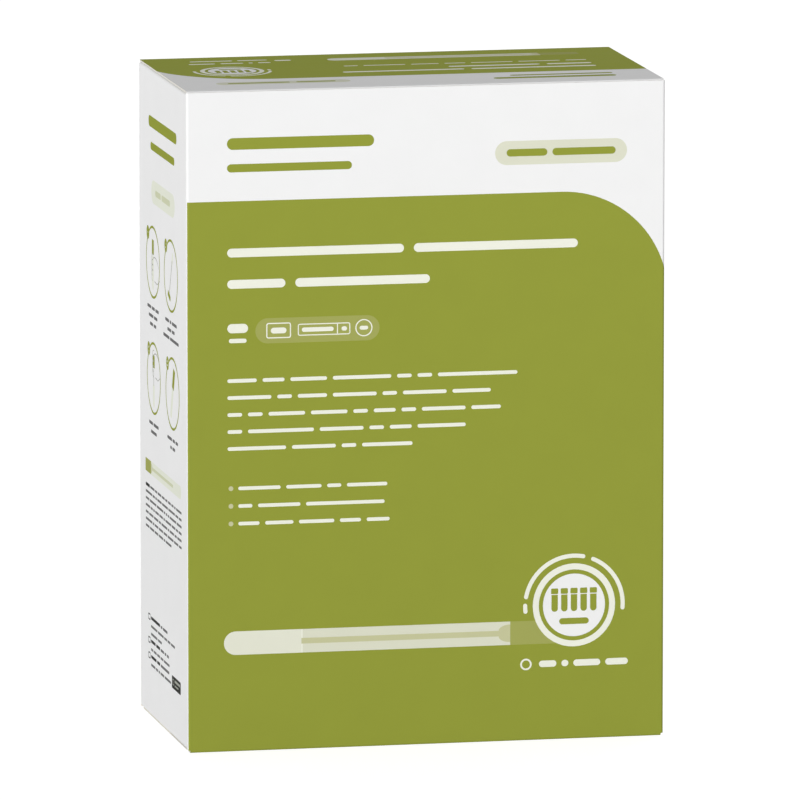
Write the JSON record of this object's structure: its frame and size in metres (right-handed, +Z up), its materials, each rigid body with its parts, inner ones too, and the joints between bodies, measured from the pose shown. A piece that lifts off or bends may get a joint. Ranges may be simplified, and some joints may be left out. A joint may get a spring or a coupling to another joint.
{
  "type": "swab tube carton",
  "caption": "Printed folding carton with a hinged tuck lid, filled with wrapped swab tubes that lie across it in layers.",
  "frame": {"origin": "middle of the base, on the surface that the carton stands on", "axes": "+Z up, front panel towards -Y, +X to the right of the front panel"},
  "size_m": [0.19, 0.1, 0.26],
  "materials": {
    "printed_board": "coated white board with olive and white print, satin",
    "pouch_film": "clear film, glossy",
    "pouch_paper": "white web, matte",
    "clear_tube": "translucent moulded plastic",
    "olive_cap": "moulded plastic, satin",
    "white_shaft": "moulded plastic, satin",
    "wound_fibre": "wound white fibre",
    "gel_medium": "cloudy pale gel, moist"
  },
  "bodies": {
    "carton": {"carton_body": "printed_board", "packed_layer_01": "pouch_paper", "packed_layer_02": "pouch_paper", "packed_layer_03": "pouch_paper", "packed_layer_04": "pouch_paper", "packed_layer_05": "pouch_paper", "packed_layer_06": "pouch_paper", "packed_layer_07": "pouch_paper", "packed_layer_08": "pouch_paper", "packed_layer_09": "pouch_paper", "packed_layer_10": "pouch_paper", "packed_layer_11": "pouch_paper", "packed_layer_12": "pouch_paper", "packed_layer_13": "pouch_paper", "packed_layer_14": "pouch_paper", "packed_layer_15": "pouch_paper", "packed_layer_16": "pouch_paper", "swab_1_film": "pouch_film", "swab_1_paper": "pouch_paper", "swab_1_tube": "clear_tube", "swab_1_cap": "olive_cap", "swab_1_shaft": "white_shaft", "swab_1_tip": "wound_fibre", "swab_1_medium": "gel_medium", "swab_2_film": "pouch_film", "swab_2_paper": "pouch_paper", "swab_2_tube": "clear_tube", "swab_2_cap": "olive_cap", "swab_2_shaft": "white_shaft", "swab_2_tip": "wound_fibre", "swab_2_medium": "gel_medium", "swab_3_film": "pouch_film", "swab_3_paper": "pouch_paper", "swab_3_tube": "clear_tube", "swab_3_cap": "olive_cap", "swab_3_shaft": "white_shaft", "swab_3_tip": "wound_fibre", "swab_3_medium": "gel_medium", "swab_4_film": "pouch_film", "swab_4_paper": "pouch_paper", "swab_4_tube": "clear_tube", "swab_4_cap": "olive_cap", "swab_4_shaft": "white_shaft", "swab_4_tip": "wound_fibre", "swab_4_medium": "gel_medium"},
    "lid": {"carton_lid": "printed_board"}
  },
  "joints": [
    {"name": "lid_hinge", "type": "hinge", "parent": "carton", "child": "lid", "pos_m": [0, 0.05002, 0.26], "axis": [-1, 0, 0], "range_deg": [0, 250]}
  ]
}
